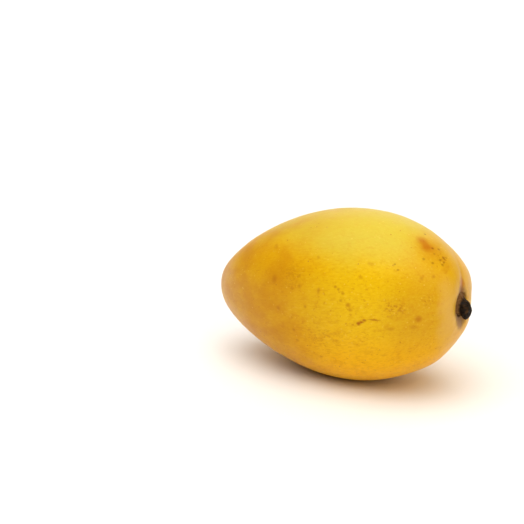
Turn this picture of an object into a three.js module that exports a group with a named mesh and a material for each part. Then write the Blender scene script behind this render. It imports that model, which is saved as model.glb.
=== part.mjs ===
// Ataulfo mango: a ripe fruit lying on its edge, with the dry stub of its stem at +X.
// Millimetres, +Z up. The origin is the middle of the small flat spot that the fruit rests on,
// +X runs along the fruit towards the stem, and -Y is the cheek that faces the viewer.
import * as THREE from 'three';
import { mergeVertices } from 'three/addons/utils/BufferGeometryUtils.js';

// Fruit, as a whole
const FRUIT_LENGTH = 120;      // from the stem's pole to the tip, before the stem cavity
const HALF_WIDTH = 36.8;       // back to belly, which stand one above the other here
const HALF_THICKNESS = 30.8;   // cheek to cheek
const SQUARENESS = 0.08;       // how much fuller than an ellipse the cross-section is
const BELLY_SHIFT = 0.05;      // the widest place lies this share towards the stem
const STEMWARD_WIDTH = 0.12;   // share by which the width grows towards the stem
const END_TAPER = 0.15;        // share by which the width is drawn in at both ends

// The fruit's middle line is a shallow S: high at the stem, low at the tip
const STEM_LIFT = 5.5;
const MIDDLE_SWING = 2.5;

// Stem cavity, and the cleft that runs from it over the back between the two shoulders
const CAVITY_DEPTH = 2.8;
const CAVITY_RADIUS = 9;
const CLEFT_DEPTH = 1.4;
const CLEFT_HALF_WIDTH = 7;
const CREASE_DEPTH = 0.6;
const CREASE_HALF_WIDTH = 1.8;
const CLEFT_REACH_ABOVE = 0.75;   // radians round the stem end
const CLEFT_REACH_BELOW = 0.35;
const CLEFT_START = 0.2;          // it starts in the middle, above the stem
const CLEFT_LEAN = 18;            // and swings over to the far side, in mm per radian squared

// Socket that the stem grows out of, and the flat that the fruit has settled on
const SOCKET_RIM = 0.14;          // radians round the stem end
const SOCKET_DEPTH = 3.4;
const FLAT_DEPTH = 0.7;
const SKIN_GAP = 0.3;             // between the stem and the fruit

// Stem stub
const STEM_SUNK = 3;
const STEM_PROUD = 5.2;
const STEM_RADIUS = 3.3;
const STEM_FOOT_RADIUS = 3.9;
const STEM_TALLNESS = 1.17;       // the stub is an oval, taller than it is thick
const STEM_DROOP = 1.3;           // how far the broken end hangs below the foot
const STEM_TURN = 0.8;            // how far it turns to the near side
const STEM_RIDGE = 0.07;          // share of the radius that the woody ridges stand out
const STEM_SLANT = 0.1;           // slope of the broken end

// Fineness of the faceted surfaces
const SIDES = 64;
const ROWS = 54;
const ROW_CROWDING = 1.2;         // above 1, rows stand closer together at the stem
const STEM_SIDES = 20;

const skin = new THREE.MeshStandardMaterial({ color: 0xecb81f, roughness: 0.42, metalness: 0 });
const driedWood = new THREE.MeshStandardMaterial({ color: 0x35261a, roughness: 0.85, metalness: 0 });

const bell = (distance, width) => Math.exp(-((distance / width) ** 2));

// A point of the plain fruit: turn goes from 0 at the stem to PI at the tip, and around
// is the angle about the long axis, a quarter turn being the back, on top
function plainPoint(turn, around) {
  const along = Math.cos(turn);
  const out = Math.sin(turn);
  const halfWidth = HALF_WIDTH * out * (1 + STEMWARD_WIDTH * along - END_TAPER * along ** 2);
  const halfThickness = HALF_THICKNESS * out;
  const middle = STEM_LIFT * along - MIDDLE_SWING * along * out ** 2;
  const [across, up] = [Math.cos(around), Math.sin(around)];
  return new THREE.Vector3(
    (FRUIT_LENGTH / 2) * (along + BELLY_SHIFT * out ** 2),
    halfThickness * across * (1 + SQUARENESS * up ** 2),
    middle + halfWidth * up * (1 + SQUARENESS * across ** 2),
  );
}

// How far the stem cavity, the cleft and its narrow crease lie below the plain fruit
function dentDepth(point, turn, around) {
  if (turn > Math.PI / 2) {
    return 0;
  }
  const cavity = CAVITY_DEPTH * bell(Math.hypot(point.y, point.z - STEM_LIFT), CAVITY_RADIUS);
  const reach = THREE.MathUtils.lerp(CLEFT_REACH_BELOW, CLEFT_REACH_ABOVE, (1 + Math.sin(around)) / 2);
  const offCleft = point.y - CLEFT_START - CLEFT_LEAN * turn ** 2;
  const cleft = CLEFT_DEPTH * bell(offCleft, CLEFT_HALF_WIDTH);
  const crease = CREASE_DEPTH * bell(offCleft, CREASE_HALF_WIDTH);
  return cavity + (cleft + crease) * bell(turn, reach);
}

function skinPoint(turn, around) {
  const point = plainPoint(turn, around);
  return point.addScaledVector(point.clone().normalize(), -dentDepth(point, turn, around));
}

// The lowest place of the plain fruit, looked for along the underside
function lowestPoint() {
  const steps = 400;
  const underside = Array.from({ length: steps }, (_, i) => plainPoint((Math.PI * i) / steps, -Math.PI / 2));
  return underside.reduce((low, point) => (point.z < low.z ? point : low));
}

const stemPole = skinPoint(0, 0);
const socketFloor = stemPole.x - SOCKET_DEPTH;
const rest = lowestPoint();
const restHeight = rest.z + FLAT_DEPTH;

// The skin is a sphere's grid pulled to shape. Its first row is the middle of the socket's
// floor, the second the floor's edge, and from the third, the rim, it follows the skin.
function fruitGeometry() {
  const grid = new THREE.SphereGeometry(1, SIDES, ROWS);
  const position = grid.getAttribute('position');
  const uv = grid.getAttribute('uv');
  const rimRow = 2;
  for (let i = 0; i < position.count; i += 1) {
    const row = Math.round((1 - uv.getY(i)) * ROWS);
    const around = 2 * Math.PI * uv.getX(i);
    const share = Math.max(0, (row - rimRow) / (ROWS - rimRow));
    const turn = SOCKET_RIM + (Math.PI - SOCKET_RIM) * share ** ROW_CROWDING;
    const point = row === 0 ? stemPole.clone() : skinPoint(turn, around);
    point.x = row < rimRow ? socketFloor : point.x;
    point.z = Math.max(point.z, restHeight);
    position.setXYZ(i, point.x, point.y, point.z);
  }
  return closed(grid);
}

// The stub is turned on a lathe, then given woody ridges, a slanting broken end and a droop
function stemGeometry() {
  const total = STEM_SUNK + STEM_PROUD;
  const profile = [
    [0, 0],
    [STEM_FOOT_RADIUS, 0],
    [STEM_FOOT_RADIUS, STEM_SUNK * 0.5],
    [STEM_FOOT_RADIUS, STEM_SUNK],
    [STEM_FOOT_RADIUS * 0.97, STEM_SUNK + STEM_PROUD * 0.12],
    [STEM_RADIUS * 1.02, STEM_SUNK + STEM_PROUD * 0.34],
    [STEM_RADIUS * 0.97, STEM_SUNK + STEM_PROUD * 0.6],
    [STEM_RADIUS * 1.06, total * 0.93],
    [STEM_RADIUS * 0.9, total],
    [STEM_RADIUS * 0.45, total * 0.985],
    [0, total * 1.02],
  ].map(([radius, height]) => new THREE.Vector2(radius, height));
  const stub = new THREE.LatheGeometry(profile, STEM_SIDES);
  stub.rotateZ(-Math.PI / 2);
  stub.scale(1, 1, STEM_TALLNESS);
  const position = stub.getAttribute('position');
  for (let i = 0; i < position.count; i += 1) {
    const [x, y, z] = [position.getX(i), position.getY(i), position.getZ(i)];
    const proud = Math.max(0, x - STEM_SUNK) / STEM_PROUD;
    const angle = Math.atan2(z, y);
    const ridge = 1 + STEM_RIDGE * proud * (Math.sin(3 * angle + 1) + 0.6 * Math.sin(7 * angle));
    const slant = STEM_SLANT * proud * (z - y);
    position.setXYZ(
      i,
      x + slant,
      y * ridge - STEM_TURN * proud ** 2,
      z * ridge - STEM_DROOP * proud ** 2,
    );
  }
  stub.translate(socketFloor + SKIN_GAP, 0, stemPole.z);
  return closed(stub);
}

// Joins the doubled points along a grid's seam, so that the surface is one closed body
function closed(geometry) {
  geometry.deleteAttribute('normal');
  geometry.deleteAttribute('uv');
  const joined = mergeVertices(geometry);
  joined.computeVertexNormals();
  return joined;
}

function named(name, geometry, material) {
  const mesh = new THREE.Mesh(geometry, material);
  mesh.name = name;
  return mesh;
}

const mango = new THREE.Group();
mango.add(named('fruit', fruitGeometry(), skin));
mango.add(named('stem', stemGeometry(), driedWood));
mango.position.set(-rest.x, 0, -restHeight);

export default mango;
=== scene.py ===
import math

import bpy
import numpy as np
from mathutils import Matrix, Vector


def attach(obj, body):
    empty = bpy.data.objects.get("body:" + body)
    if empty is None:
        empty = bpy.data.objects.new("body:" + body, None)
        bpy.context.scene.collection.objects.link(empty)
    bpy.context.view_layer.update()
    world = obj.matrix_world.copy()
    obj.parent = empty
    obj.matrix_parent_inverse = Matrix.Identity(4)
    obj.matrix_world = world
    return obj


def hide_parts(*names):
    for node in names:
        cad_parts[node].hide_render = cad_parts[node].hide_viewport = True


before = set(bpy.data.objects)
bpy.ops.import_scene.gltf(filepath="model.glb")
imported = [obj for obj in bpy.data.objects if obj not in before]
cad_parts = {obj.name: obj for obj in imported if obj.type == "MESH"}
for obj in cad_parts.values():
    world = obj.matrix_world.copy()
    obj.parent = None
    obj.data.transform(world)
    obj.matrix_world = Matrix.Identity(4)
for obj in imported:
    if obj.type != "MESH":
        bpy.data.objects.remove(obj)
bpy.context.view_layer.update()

MM = 0.001


# Camera
# The photograph was taken with a long lens from a little above the table, with the fruit
# turned so that its stem end comes towards the viewer.
SIDE_ANGLE = math.radians(34)
HEIGHT_ANGLE = math.radians(18)
CAMERA_DISTANCE = 645.4 * MM
AIM_POINT = Vector((-46.1, 0, 41.7)) * MM
LENS = 100

towards_camera = Vector((
    math.sin(SIDE_ANGLE) * math.cos(HEIGHT_ANGLE),
    -math.cos(SIDE_ANGLE) * math.cos(HEIGHT_ANGLE),
    math.sin(HEIGHT_ANGLE),
))
camera = bpy.data.objects.new("camera", bpy.data.cameras.new("camera"))
bpy.context.collection.objects.link(camera)
camera.data.lens = LENS
camera.location = AIM_POINT + towards_camera * CAMERA_DISTANCE
camera.rotation_euler = towards_camera.to_track_quat("Z", "Y").to_euler()
bpy.context.scene.camera = camera


# Table and studio light
# A white table top that runs far back, in a dim warm room. A broad diffuser hangs overhead, a
# weaker warm one stands behind, and a small warm softbox stands in front on the right, so that
# the table burns out to white round a short soft shadow.
TABLE_SIZE = 60
TABLE_WHITE = "#E8E8E8"
ROOM_LIGHT = 0.17
ROOM_COLOUR = "#FFDDAC"
DIFFUSERS = (
    # colour, brightness, direction, and its soft edge: the cosine of the angle from its middle
    ("#FFFFFF", 3.2, (-0.060, -0.220, 0.974), 0.6),
    ("#FFF0DC", 1.0, (-0.220, 0.870, 0.440), 0.6),
)
SOFTBOX_SIZE = 0.5
SOFTBOX_WATTS = 1.7
SOFTBOX_COLOUR = "#FFE4C0"
SOFTBOX_PLACE = Vector((0.55, -0.25, 0.4))


def linear(hex_colour):
    """The linear colour of an sRGB hex value, with an alpha of 1."""
    channels = [int(hex_colour[i:i + 2], 16) / 255 for i in (1, 3, 5)]
    return [c / 12.92 if c <= 0.04045 else ((c + 0.055) / 1.055) ** 2.4 for c in channels] + [1.0]


def add_node(tree, kind, inputs=(), **settings):
    """Adds a node, sets its properties, and fills or links its sockets."""
    added = tree.nodes.new(kind)
    for name, value in settings.items():
        setattr(added, name, value)
    for key, value in dict(inputs).items():
        if isinstance(value, bpy.types.NodeSocket):
            tree.links.new(value, added.inputs[key])
        else:
            added.inputs[key].default_value = value
    return added


def new_material(name):
    """An empty material and its node tree."""
    material = bpy.data.materials.new(name)
    material.use_nodes = True
    material.node_tree.nodes.clear()
    return material, material.node_tree


bpy.ops.object.select_all(action="DESELECT")
bpy.ops.mesh.primitive_plane_add(size=TABLE_SIZE)
table = bpy.context.object
table.name = "table"

# Matt painted board: it takes a soft shadow and the fruit's glow, and mirrors nothing
table_white, tree = new_material("matt_white_paint")
shader = add_node(tree, "ShaderNodeBsdfPrincipled", {
    "Base Color": linear(TABLE_WHITE), "Roughness": 0.8, "Specular IOR Level": 0.2})
add_node(tree, "ShaderNodeOutputMaterial", {"Surface": shader.outputs["BSDF"]})
table.data.materials.append(table_white)

softbox = bpy.data.objects.new("softbox", bpy.data.lights.new("softbox", "AREA"))
bpy.context.collection.objects.link(softbox)
softbox.data.size = SOFTBOX_SIZE
softbox.data.energy = SOFTBOX_WATTS
softbox.data.color = linear(SOFTBOX_COLOUR)[:3]
softbox.location = SOFTBOX_PLACE
softbox.rotation_euler = SOFTBOX_PLACE.to_track_quat("Z", "Y").to_euler()

world = bpy.data.worlds.new("room")
bpy.context.scene.world = world
world.use_nodes = True
tree = world.node_tree
tree.nodes.clear()
direction = add_node(tree, "ShaderNodeTexCoord").outputs["Generated"]
light = add_node(tree, "ShaderNodeBackground", {
    "Color": linear(ROOM_COLOUR), "Strength": ROOM_LIGHT}).outputs["Background"]
for hex_colour, strength, towards, edge in DIFFUSERS:
    facing = add_node(tree, "ShaderNodeVectorMath", {0: direction, 1: towards}, operation="DOT_PRODUCT")
    glow = add_node(tree, "ShaderNodeMapRange", {
        "Value": facing.outputs["Value"], "From Min": edge, "From Max": 1.0,
        "To Min": 0.0, "To Max": strength}, interpolation_type="SMOOTHSTEP")
    diffuser = add_node(tree, "ShaderNodeBackground", {
        "Color": linear(hex_colour), "Strength": glow.outputs["Result"]})
    light = add_node(tree, "ShaderNodeAddShader", {
        0: light, 1: diffuser.outputs["Background"]}).outputs["Shader"]
add_node(tree, "ShaderNodeOutputWorld", {"Surface": light})
bpy.context.scene.view_settings.view_transform = "Standard"


# Fruit
# The whole fruit, which grew in one piece: a thin waxy skin over soft flesh. Its skin turns in
# round the stem, and a crease runs from there over the back, between the two shoulders.
MERGE_DISTANCE = 0.01 * MM
STEM_POLE = np.array((51.3, 0, 41.2)) * MM
SWELL = 0.5 * MM
SWELL_WAVELENGTH = 24 * MM
PUCKER = 0.35 * MM
PUCKER_WAVELENGTH = 3.2 * MM
PUCKER_REACH = 13 * MM
FULLER_PLACES = (
    # the middle of each place, how far and which way it swells out, and its reach, in millimetres
    ((50.5, 7.5, 50), (0.75, 0.5, 0), 9),
    ((51, 5, 31), (0.75, 0.5, 0), 9),
    ((42, -4.5, 16.5), (0.62, -0.1, -0.7), 10),
)
CREASE_START = 0.2 * MM
CREASE_SWING = 0.0172 / MM
CREASE_WIDTH = 1.6 * MM
CREASE_LENGTH = 14 * MM
SHOULDER_LENGTH = 24 * MM
SHOULDER_START = 12 * MM   # how far above the stem the far shoulder's own colour is at its full
SHOULDER_EDGE = 2 * MM


def bell(distance, width):
    """1 where there is no distance, and next to nothing from twice the width on."""
    return np.exp(-((distance / width) ** 2))


def read_points(piece):
    """The places of a mesh's points, one row each."""
    numbers = np.empty(3 * len(piece.data.vertices), dtype=np.float32)
    piece.data.vertices.foreach_get("co", numbers)
    return numbers.reshape(-1, 3)


def write_points(piece, points):
    """Moves a mesh's points to these places."""
    piece.data.vertices.foreach_set("co", points.astype(np.float32).ravel())
    piece.data.update()


def apply_modifier(piece, name, kind, **settings):
    """Adds a modifier to the active piece and applies it."""
    modifier = piece.modifiers.new(name, kind)
    for key, value in settings.items():
        setattr(modifier, key, value)
    bpy.ops.object.modifier_apply(modifier=name)


def roughen(piece, name, depth, wavelength, where=""):
    """Raises and lowers a piece's surface by a cloud noise, all over or in a vertex group."""
    texture = bpy.data.textures.new(name, "CLOUDS")
    texture.noise_scale = wavelength
    apply_modifier(piece, name, "DISPLACE", texture=texture, strength=depth, mid_level=0.5,
                   vertex_group=where)


# The part's own facets, merged into one skin, are rounded off
fruit = bpy.data.objects.new("mango_skin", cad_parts["fruit"].data.copy())
bpy.context.collection.objects.link(fruit)
fruit.data.materials.clear()
bpy.ops.object.select_all(action="DESELECT")
fruit.select_set(True)
bpy.context.view_layer.objects.active = fruit
bpy.ops.object.mode_set(mode="EDIT")
bpy.ops.mesh.select_all(action="SELECT")
bpy.ops.mesh.remove_doubles(threshold=MERGE_DISTANCE)
bpy.ops.mesh.tris_convert_to_quads(face_threshold=math.pi, shape_threshold=math.pi)
bpy.ops.object.mode_set(mode="OBJECT")
apply_modifier(fruit, "rounding", "SUBSURF", levels=2, render_levels=2)

# The skin swells unevenly all over, and puckers round the stem
near_stem = fruit.vertex_groups.new(name="near_stem")
off_stem = np.linalg.norm(read_points(fruit) - STEM_POLE, axis=1)
for index, share in enumerate(bell(off_stem, PUCKER_REACH)):
    near_stem.add([index], float(share), "REPLACE")
roughen(fruit, "swell", SWELL, SWELL_WAVELENGTH)
roughen(fruit, "pucker", PUCKER, PUCKER_WAVELENGTH, "near_stem")

# The stem end is a little fuller on its far side and low on its near side, and the underside
# stays on the table
points = read_points(fruit)
for middle, swelling, reach in FULLER_PLACES:
    share = bell(np.linalg.norm(points - np.array(middle) * MM, axis=1), reach * MM)
    points += share[:, None] * np.array(swelling) * MM
points[:, 2] = np.maximum(points[:, 2], 0)
write_points(fruit, points)

# Where the crease runs and where the far shoulder lies is kept for the skin's colours to read
from_stem = np.hypot(points[:, 0] - STEM_POLE[0], points[:, 2] - STEM_POLE[2])
aside = points[:, 1] - CREASE_START - CREASE_SWING * from_stem ** 2
above = np.clip((points[:, 2] - STEM_POLE[2]) / SHOULDER_START, 0, 1)
beyond = np.clip(aside / SHOULDER_EDGE, 0, 1)
for name, share in (
    ("crease", bell(aside, CREASE_WIDTH) * bell(from_stem, CREASE_LENGTH) * (above > 0)),
    ("far_shoulder", beyond * bell(from_stem, SHOULDER_LENGTH) * above),
):
    attribute = fruit.data.attributes.new(name, "FLOAT", "POINT")
    attribute.data.foreach_set("value", share.astype(np.float32))
bpy.ops.object.shade_smooth()

# Ripe mango skin: a waxy cuticle over yellow flesh that light enters a little way. It gives a
# soft broad gloss, saturated shadows, fine mottling, lenticels and brown sap and rub marks.
# All lengths in the material are millimetres.
RIPE_YELLOW = "#DBB506"
LEMON_AND_GLOSS = "#C6B22E"
DEEP_YELLOW = "#C69A10"
ORANGE_AND_TIP_SHADE = "#C89004"
UNDERSIDE_GOLD_AND_BOUNCE = "#F2B40E"
STREAK = "#C07C00"
PALE_DOT = "#EACB5E"
PALE_FLANK_HIGHLIGHT = "#D2AA52"
PALE_STRIP_AND_RIM_REFLECTION = "#D6B270"
BRUISE = "#AC6200"
RUST = "#B87400"
RUB_BROWN = "#A25600"
SPECK_BROWN = "#7A3E00"
SAP_GREY = "#866648"
SAP_BROWN = "#7B5224"
SAP_BLACK = "#2A1B0E"
GRAIN_TILT = math.radians(-10)


def millimetre_place(tree):
    """The place on a piece, in millimetres."""
    coordinates = add_node(tree, "ShaderNodeTexCoord")
    return add_node(tree, "ShaderNodeMapping", {
        "Vector": coordinates.outputs["Object"], "Scale": (1 / MM, 1 / MM, 1 / MM)}).outputs["Vector"]


def mottles(size, stretch=1, detail=2, rough=0.5, output="Fac"):
    """Mottling between 0 and 1, with mottles about size millimetres across, and longer along
    the fruit where they are stretched."""
    stretched = add_node(tree, "ShaderNodeMapping", {
        "Vector": place, "Rotation": (0, GRAIN_TILT, 0), "Scale": (stretch, 1, 1)},
        vector_type="TEXTURE")
    return add_node(tree, "ShaderNodeTexNoise", {
        "Vector": stretched.outputs["Vector"], "Scale": 1 / size,
        "Detail": detail, "Roughness": rough}).outputs[output]


def dots(spacing):
    """Dots about spacing millimetres apart: how many spacings it is to the nearest one's middle,
    and two random values from 0 to 1 for each dot."""
    pattern = add_node(tree, "ShaderNodeTexVoronoi", {"Vector": place, "Scale": 1 / spacing})
    chances = add_node(tree, "ShaderNodeSeparateColor", {"Color": pattern.outputs["Color"]})
    return pattern.outputs["Distance"], chances.outputs["Red"], chances.outputs["Green"]


def soft_share(value, low, high, at_low=0.0, at_high=1.0, within=1.0):
    """A share that goes softly from at_low to at_high while a value goes from low to high,
    times the share that it lies within."""
    edge = add_node(tree, "ShaderNodeMapRange", {
        "Value": value, "From Min": low, "From Max": high, "To Min": at_low, "To Max": at_high},
        interpolation_type="SMOOTHSTEP")
    return add_node(tree, "ShaderNodeMath", {
        0: edge.outputs["Result"], 1: within}, operation="MULTIPLY").outputs["Value"]


def ragged_place(size, reach):
    """The place, moved about by up to reach millimetres, which makes edges of patches ragged.
    Noise seldom leaves its middle value by more than a quarter, hence the 4."""
    shift = add_node(tree, "ShaderNodeVectorMath", {
        0: mottles(size, detail=3, output="Color"), 1: (0.5, 0.5, 0.5)}, operation="SUBTRACT")
    return add_node(tree, "ShaderNodeVectorMath", {
        0: shift.outputs["Vector"], 1: (4 * reach, 4 * reach, 4 * reach), 2: place},
        operation="MULTIPLY_ADD").outputs["Vector"]


def patch(where, centre, size, core=0.1, within=1.0):
    """A soft oval patch that reaches size millimetres each way: 1 out to its core, 0 outside."""
    moved = add_node(tree, "ShaderNodeMapping", {
        "Vector": where, "Location": [-c / s for c, s in zip(centre, size)],
        "Scale": [1 / s for s in size]})
    out = add_node(tree, "ShaderNodeVectorMath", {0: moved.outputs["Vector"]}, operation="LENGTH")
    return soft_share(out.outputs["Value"], core, 1.0, 1.0, 0.0, within)


def layer(colour, share, strength, hex_colour):
    """Lays a colour over another by a share, at a strength of 0 to 1. In the Mix node, sockets
    6 and 7 take the two colours, and output 2 gives the new one."""
    amount = add_node(tree, "ShaderNodeMath", {0: share, 1: strength}, operation="MULTIPLY")
    return add_node(tree, "ShaderNodeMix", {
        "Factor": amount.outputs["Value"], 6: colour, 7: linear(hex_colour)},
        data_type="RGBA").outputs[2]


# Ground colour: lemon on top, which also holds a painted highlight where the overhead light falls on
# the top; deeper towards the stem; orange towards the tip, partly the skin's own and partly painted
# shade on the tip half; and golden underneath, partly the skin's own and partly painted bounce light
# from the table. The borders sway in soft clouds.
CLOUD_SIZE = 22
CLOUD_SWAY = 6
skin, tree = new_material("ripe_mango_skin")
place = millimetre_place(tree)
height = add_node(tree, "ShaderNodeSeparateXYZ", {"Vector": place}).outputs["Z"]
sway = add_node(tree, "ShaderNodeMapRange", {
    "Value": mottles(CLOUD_SIZE), "To Min": -CLOUD_SWAY, "To Max": CLOUD_SWAY})
swayed = add_node(tree, "ShaderNodeVectorMath", {0: place, 1: sway.outputs["Result"]}, operation="ADD")
cloudy = add_node(tree, "ShaderNodeSeparateXYZ", {"Vector": swayed.outputs["Vector"]})
stemward, upward = cloudy.outputs["X"], cloudy.outputs["Z"]
# Lemon on top: the skin's own colour, with a painted highlight in it
colour = layer(linear(RIPE_YELLOW), soft_share(upward, 53, 67), 1, LEMON_AND_GLOSS)
colour = layer(colour, soft_share(stemward, 25, 43), 0.85, DEEP_YELLOW)
# Golden underneath: the skin's own gold, brightened with painted bounce light from the table
colour = layer(colour, soft_share(upward, 40, 8), 0.9, UNDERSIDE_GOLD_AND_BOUNCE)
# Orange on the tip half: partly deeper skin, partly painted shade, weaker on the top
tip_shade_share = soft_share(height, 66, 52, 0.3, 0.8)
colour = layer(colour, soft_share(stemward, 18, -22), tip_shade_share, ORANGE_AND_TIP_SHADE)

# Mottling: short thin streaks along the fruit, small clouds, denser low down on the cheeks, rusty
# patches towards the tip, and rusty freckles. The streaks are drawn two pixels of the picture
# wide, because the skin's finest ones would not show.
STREAK_SIZE, STREAK_STRETCH = 0.75, 3
MOTTLE_SIZE, MOTTLE_STRETCH = 2.4, 1.7
RUST_SIZE, RUST_STRETCH = 8, 1.5
FRECKLE_SIZE, FRECKLE_STRETCH = 1.5, 1.3
streaks = mottles(STREAK_SIZE, STREAK_STRETCH, detail=4, rough=0.65)
colour = layer(colour, soft_share(streaks, 0.47, 0.66), soft_share(height, 70, 55, 0.12, 0.28), STREAK)
colour = layer(colour, soft_share(streaks, 0.45, 0.3), 0.14, PALE_DOT)
clouds = mottles(MOTTLE_SIZE, MOTTLE_STRETCH, detail=4, rough=0.65)
colour = layer(colour, soft_share(clouds, 0.48, 0.68), soft_share(height, 62, 30, 0.1, 0.32), STREAK)
tipward = soft_share(stemward, 6, -24)
rusty = soft_share(mottles(RUST_SIZE, RUST_STRETCH, detail=3), 0.35, 0.7, within=tipward)
colour = layer(colour, rusty, 0.5, RUST)
freckles = soft_share(mottles(FRECKLE_SIZE, FRECKLE_STRETCH, detail=4, rough=0.6), 0.59, 0.7)
colour = layer(colour, freckles, soft_share(height, 66, 52, 0.1, 0.5), RUST)

# Lenticels: pores all over, some of them paler than the skin and some browned
PORE_SPACING = 2.2
pore_distance, paleness, browning = dots(PORE_SPACING)
pore = soft_share(pore_distance, 0.06, 0.2, 1, 0)
colour = layer(colour, pore, soft_share(paleness, 0.5, 0.55, 0, 0.3), PALE_DOT)
colour = layer(colour, pore, soft_share(browning, 0.78, 0.95, 0, 0.7), RUB_BROWN)

# Shoulders: a painted highlight on the flank beside the stem end, a pale far shoulder that is partly
# the skin's own paler colour and partly painted reflection along the rim, and a warm flush between
coarse = ragged_place(size=5, reach=1.2)
far_share = add_node(tree, "ShaderNodeAttribute", attribute_name="far_shoulder").outputs["Fac"]
# Painted highlight: a pale patch on the near flank beside the stem end
colour = layer(colour, patch(coarse, (51, -9.5, 40), (9, 7, 22)), 0.75, PALE_FLANK_HIGHLIGHT)
# The far shoulder's paler skin, made paler still with painted reflection along the rim
colour = layer(colour, far_share, 0.7, PALE_STRIP_AND_RIM_REFLECTION)
colour = layer(colour, patch(coarse, (47.4, -6, 57.5), (3.5, 3.5, 3)), 0.3, BRUISE)

# Bruise on the back above the stem, with a spread of small dark specks round it
SPECK_SPACING = 1.5
SPECK_RAGGEDNESS = 0.3
middling = ragged_place(size=1.8, reach=0.5)
colour = layer(colour, patch(coarse, (40, -5, 64), (12, 9, 8), 0), 0.4, BRUISE)
colour = layer(colour, patch(middling, (35.6, -4.6, 66.8), (4, 3.6, 3)), 0.7, BRUISE)
colour = layer(colour, patch(middling, (38.4, -6, 65.1), (4, 4.2, 3)), 0.85, BRUISE)
near_bruise = patch(coarse, (41, -6, 63), (12, 12, 12), 0.3)
speck_distance, speck_chance, _ = dots(SPECK_SPACING)
speck_edge = add_node(tree, "ShaderNodeMath", {
    0: mottles(size=0.5), 1: SPECK_RAGGEDNESS, 2: speck_distance},
    operation="MULTIPLY_ADD").outputs["Value"]
chosen = soft_share(speck_chance, 0.6, 0.75, within=near_bruise)
colour = layer(colour, soft_share(speck_edge, 0.28, 0.42, 1, 0, chosen), 0.6, RUB_BROWN)

# Rub marks on the near cheek: mottled patches
RUBBED_PLACES = (
    # middle, reach each way, strength
    ((34, -24, 43.5), (10, 7, 5.5), 0.6),
    ((44.5, -4.5, 60.5), (4, 4, 4), 0.5),
    ((3, -29, 27), (17, 6, 7), 0.35),
    ((45, -17, 47), (5, 4, 4), 0.4),
    ((-12, -27, 48), (9, 6, 9), 0.4),
)
rubbing = soft_share(mottles(size=0.9, stretch=1.6, detail=4, rough=0.7), 0.46, 0.62)
for centre, size, strength in RUBBED_PLACES:
    colour = layer(colour, patch(coarse, centre, size, within=rubbing), strength, RUB_BROWN)

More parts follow.
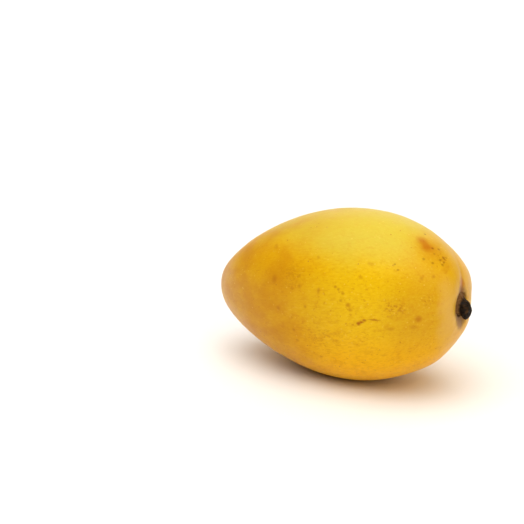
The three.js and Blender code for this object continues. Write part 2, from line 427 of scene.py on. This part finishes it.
# Small marks: dark specks, a nick with a thin scratch, orange spots and faint brown ones
MARKS = (
    # middle, reach each way, strength, colour: first the dark specks, most of them by the bruise
    ((33.9, 0.7, 68.0), (0.88, 0.88, 0.88), 0.7, SPECK_BROWN),
    ((40.1, -4.3, 64.3), (0.88, 0.88, 0.88), 0.8, SPECK_BROWN),
    ((41.7, -2.0, 63.5), (1.0, 1.0, 0.75), 0.6, SPECK_BROWN),
    ((41.9, -6.0, 62.7), (0.88, 0.88, 0.75), 0.5, SPECK_BROWN),
    ((40.0, -11.5, 61.7), (1.0, 1.0, 0.75), 0.5, SPECK_BROWN),
    ((43.2, -9.8, 60.1), (1.0, 1.0, 0.88), 0.6, SPECK_BROWN),
    ((44.7, -3.7, 60.9), (1.12, 1.12, 0.75), 0.8, SPECK_BROWN),
    ((45.2, -3.8, 60.2), (0.88, 0.88, 0.75), 0.7, SPECK_BROWN),
    ((45.1, -2.3, 60.5), (0.88, 0.88, 0.75), 0.6, SPECK_BROWN),
    ((44.5, -6.0, 60.6), (1.0, 1.0, 0.75), 0.6, SPECK_BROWN),
    ((45.8, -5.2, 59.5), (1.0, 1.0, 0.75), 0.6, SPECK_BROWN),
    ((46.0, -6.7, 59.0), (1.0, 1.0, 0.88), 0.6, SPECK_BROWN),
    ((31.2, -19.4, 60.0), (0.75, 0.75, 0.6), 0.6, SPECK_BROWN),
    ((32.9, -19.9, 58.1), (0.75, 0.75, 0.6), 0.6, SPECK_BROWN),
    # the nick, and the scratch that leads off it
    ((20.3, -28.5, 35.2), (1.5, 2.0, 1.2), 0.95, RUB_BROWN),
    ((21.4, -28.3, 36.0), (1.5, 2.0, 1.0), 0.95, RUB_BROWN),
    ((22.6, -28.0, 36.9), (1.3, 2.0, 0.9), 0.85, RUB_BROWN),
    ((26.5, -27.0, 37.6), (4.8, 2.2, 0.6), 0.7, RUB_BROWN),
    # orange spots
    ((42.7, -19.5, 39.0), (2.4, 2.2, 2.2), 0.7, BRUISE),
    ((41.0, -20.4, 35.4), (2.4, 2.0, 1.8), 0.35, BRUISE),
    ((32.7, -24.6, 34.2), (3.0, 2.0, 1.5), 0.35, BRUISE),
    ((15.6, -29.2, 42.4), (1.8, 1.5, 1.4), 0.65, BRUISE),
    ((16.6, -29.2, 40.6), (1.6, 1.5, 1.2), 0.5, BRUISE),
    ((22.1, -23.0, 59.4), (2.2, 2.0, 1.2), 0.3, BRUISE),
    ((19.3, -26.1, 54.0), (1.6, 1.5, 1.2), 0.35, BRUISE),
    # faint spots over the near cheek, nearly all of them brown
    ((12.9, -29.0, 46.9), (1.3, 1.2, 1.1), 0.5, RUB_BROWN),
    ((12.3, -29.5, 43.7), (1.1, 1.1, 1.1), 0.5, RUB_BROWN),
    ((10.8, -29.0, 48.2), (1.0, 1.0, 1.0), 0.5, RUB_BROWN),
    ((9.3, -29.0, 49.0), (1.1, 1.0, 0.9), 0.5, RUB_BROWN),
    ((1.9, -29.9, 46.2), (1.1, 1.1, 2.2), 0.45, RUB_BROWN),
    ((-1.0, -25.6, 58.9), (1.1, 1.1, 1.1), 0.3, RUB_BROWN),
    ((-8.5, -28.7, 50.3), (1.5, 1.4, 1.2), 0.4, RUB_BROWN),
    ((-7.5, -29.7, 46.3), (1.4, 1.4, 1.5), 0.4, RUB_BROWN),
    ((-11.2, -29.7, 44.6), (1.4, 1.4, 1.3), 0.35, RUB_BROWN),
    ((-4.0, -30.7, 38.3), (1.1, 1.1, 1.1), 0.45, RUB_BROWN),
    ((-10.1, -29.8, 26.5), (1.3, 1.3, 1.2), 0.4, RUB_BROWN),
    ((-8.8, -28.8, 21.9), (1.6, 1.3, 1.2), 0.35, RUB_BROWN),
    ((-17.9, -29.7, 34.6), (1.6, 1.5, 1.5), 0.6, BRUISE),
    ((-24.7, -21.0, 58.3), (2.2, 2.0, 1.6), 0.35, RUB_BROWN),
    ((-21.1, -27.9, 46.3), (2.2, 2.2, 2.8), 0.45, RUB_BROWN),
    ((41.8, -16.3, 55.2), (1.2, 1.2, 1.2), 0.4, RUB_BROWN),
    ((45.3, -12.8, 55.6), (1.2, 1.2, 1.2), 0.4, RUB_BROWN),
)
fine = ragged_place(size=0.9, reach=0.2)
for centre, size, strength, hex_colour in MARKS:
    colour = layer(colour, patch(fine, centre, size), strength, hex_colour)

# Tip: the small brown scar that the flower's style left
TIP = (-64.8, 0, 31)
colour = layer(colour, patch(middling, TIP, (4, 4, 4), 0), 0.5, RUB_BROWN)
colour = layer(colour, patch(fine, TIP, (1.4, 1.2, 1.2), 0.3), 0.85, SPECK_BROWN)

# Stem end: the crease is browned, partly by sap and partly with painted shade along it, and sap has
# stained the cavity grey at the edge and black inside
crease_brown_and_shade = add_node(tree, "ShaderNodeAttribute", attribute_name="crease").outputs["Fac"]
# Painted shade along the crease, in a brown that is partly the sap's
colour = layer(colour, crease_brown_and_shade, 0.3, RUB_BROWN)
colour = layer(colour, patch(middling, (51.5, 0.8, 49.5), (5, 3, 4.5), 0.4), 0.65, RUB_BROWN)
stained = patch(middling, (51.5, 0, 39.8), (7, 6, 11), 0.65)
colour = layer(colour, stained, 0.85, SAP_GREY)
colour = layer(colour, patch(middling, (51.2, 0.8, 44.5), (5, 3.4, 4.5), 0.4), 0.55, SAP_BROWN)
colour = layer(colour, patch(middling, (51.5, -1.8, 39.8), (6, 4.6, 6), 0.4), 0.85, SAP_BROWN)
colour = layer(colour, patch(fine, (51.5, 1, 40.5), (6, 4.6, 5.2), 0.5), 0.85, SAP_BLACK)

# Relief too fine for the mesh: a faint orange-peel and the dimples of the pores
PEEL_SIZE = 1.1
PEEL_RELIEF = 0.03 * MM
PORE_RELIEF = 0.04 * MM
peel = add_node(tree, "ShaderNodeBump", {
    "Height": mottles(PEEL_SIZE, detail=3), "Distance": PEEL_RELIEF, "Strength": 1.0})
dimples = add_node(tree, "ShaderNodeBump", {
    "Height": pore, "Distance": PORE_RELIEF, "Strength": 1.0, "Normal": peel.outputs["Normal"]},
    invert=True)

# The wax shines softly, more in some patches than in others, and most where it is seen at a slant.
# It is duller low down and at the bruise, and roughest where sap has dried on it.
GLOSS_PATCH_SIZE = 5
SAP_ROUGHNESS = 0.35
waxy = soft_share(mottles(GLOSS_PATCH_SIZE, detail=3), 0.3, 0.7, 0.34, 0.42)
roughness = add_node(tree, "ShaderNodeMath", {
    0: stained, 1: SAP_ROUGHNESS, 2: waxy}, operation="MULTIPLY_ADD").outputs["Value"]
slant = add_node(tree, "ShaderNodeLayerWeight", {"Blend": 0.5}).outputs["Facing"]
unbruised = soft_share(near_bruise, 0, 1, 1, 0.4)
shine = soft_share(slant, 0.3, 0.85, 0.15, 0.75, soft_share(height, 8, 36, 0.4, 1, unbruised))
shader = add_node(tree, "ShaderNodeBsdfPrincipled", {
    "Base Color": colour, "Roughness": roughness, "Normal": dimples.outputs["Normal"],
    "IOR": 1.45, "Specular IOR Level": shine,
    "Subsurface Weight": 0.2, "Subsurface Radius": (1.0, 0.5, 0.1), "Subsurface Scale": 2.5 * MM})
add_node(tree, "ShaderNodeOutputMaterial", {"Surface": shader.outputs["BSDF"]})
fruit.data.materials.append(skin)
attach(fruit, "root")
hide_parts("fruit")


# Stem
# The dry stub of the stalk, snapped off short: a woody knob, nearly black with dried sap, on a
# wider foot that grew into the socket of the skin. It leans down and a little to the near side.
STUB_START = np.array((-3.0, 0, 0)) * MM
STUB_FOOT = 4.0 * MM
STUB_SIDES = 24
STUB_TALLNESS = 1.17
STUB_STATIONS = (
    # how far out of the skin, its half-width there, how far down, how far to the near side
    (-0.9, 4.4, -0.4, 0.4),
    (-0.1, 4.3, -0.4, 0.5),
    (0.6, 3.7, -0.1, 0.5),
    (1.5, 3.1, 0.6, 0.3),
    (2.4, 3.2, 1.1, 0.4),
    (3.3, 3.2, 1.4, 0.5),
    (4.1, 2.8, 1.6, 0.6),
    (4.8, 2.0, 1.7, 0.6),
    (5.1, 1.0, 1.7, 0.6),
)
STUB_RIDGE = 0.05
STUB_LUMP = 0.7 * MM
STUB_LUMP_WAVELENGTH = 1.7 * MM

bpy.ops.object.select_all(action="DESELECT")
bpy.ops.mesh.primitive_circle_add(
    vertices=STUB_SIDES, radius=STUB_FOOT, fill_type="NGON", enter_editmode=True,
    location=tuple(STEM_POLE + STUB_START), rotation=(0, math.pi / 2, 0))
stub = bpy.context.object
stub.name = "stem_stub"
centre, width = STUB_START, STUB_FOOT
for out, half_width, down, near in STUB_STATIONS:
    following = np.array((out, -near, -down)) * MM
    bpy.ops.mesh.extrude_region_move(TRANSFORM_OT_translate={"value": tuple(following - centre)})
    share = half_width * MM / width
    bpy.ops.transform.resize(value=(1, share, share), center_override=tuple(STEM_POLE + following))
    centre, width = following, half_width * MM
bpy.ops.mesh.select_all(action="SELECT")
bpy.ops.transform.resize(value=(1, 1, STUB_TALLNESS), center_override=tuple(STEM_POLE))
bpy.ops.mesh.normals_make_consistent(inside=False)
bpy.ops.object.mode_set(mode="OBJECT")
bpy.ops.object.transform_apply(location=True, rotation=True, scale=True)
apply_modifier(stub, "rounding", "SUBSURF", levels=2, render_levels=2)

# Seven ridges and twelve finer ones wind along it, and dried lumps of sap sit on it
points = read_points(stub)
aside, above = points[:, 1] - STEM_POLE[1], points[:, 2] - STEM_POLE[2]
around = np.arctan2(above, aside)
along = (points[:, 0] - STEM_POLE[0]) / MM
ridges = np.sin(7 * around + 0.5 * along) + 0.6 * np.sin(12 * around - 0.8 * along)
points[:, 1] = STEM_POLE[1] + aside * (1 + STUB_RIDGE * ridges)
points[:, 2] = STEM_POLE[2] + above * (1 + STUB_RIDGE * ridges)
write_points(stub, points)
roughen(stub, "lumps", STUB_LUMP, STUB_LUMP_WAVELENGTH)
bpy.ops.object.shade_smooth()

# Dry stalk wood: grey-brown fibres, blackened by dried sap, matt but for a dull shine on the sap.
# The foot, close to the skin, is the palest. From here on, tree and place are the stalk's.
WOOD_BLACK = "#150D07"
WOOD_BROWN = "#6B4A28"
WOOD_GREY = "#8A7048"
FIBRE_SIZE, FIBRE_STRETCH = 0.55, 3
FIBRE_RELIEF = 0.12 * MM
SAP_DROP_SIZE = 2.2
FOOT_TOP = 52.0

dry_wood, tree = new_material("sap_blackened_stalk_wood")
place = millimetre_place(tree)
fibres = mottles(FIBRE_SIZE, FIBRE_STRETCH, detail=4, rough=0.6)
sap = mottles(SAP_DROP_SIZE, detail=3)
outward = add_node(tree, "ShaderNodeSeparateXYZ", {"Vector": place}).outputs["X"]
colour = layer(linear(WOOD_BLACK), soft_share(sap, 0.5, 0.75), 0.5, WOOD_BROWN)
colour = layer(colour, soft_share(outward, FOOT_TOP + 1.2, FOOT_TOP), 0.9, WOOD_BROWN)
bareness = soft_share(outward, FOOT_TOP + 1.4, FOOT_TOP, 0.1, 0.75)
colour = layer(colour, soft_share(fibres, 0.5, 0.7), bareness, WOOD_GREY)
grain = add_node(tree, "ShaderNodeBump", {
    "Height": fibres, "Distance": FIBRE_RELIEF, "Strength": 1.0})
shader = add_node(tree, "ShaderNodeBsdfPrincipled", {
    "Base Color": colour, "Roughness": soft_share(sap, 0.35, 0.65, 0.45, 0.75),
    "Normal": grain.outputs["Normal"], "IOR": 1.45, "Specular IOR Level": 0.1})
add_node(tree, "ShaderNodeOutputMaterial", {"Surface": shader.outputs["BSDF"]})
stub.data.materials.append(dry_wood)
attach(stub, "root")
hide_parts("stem")
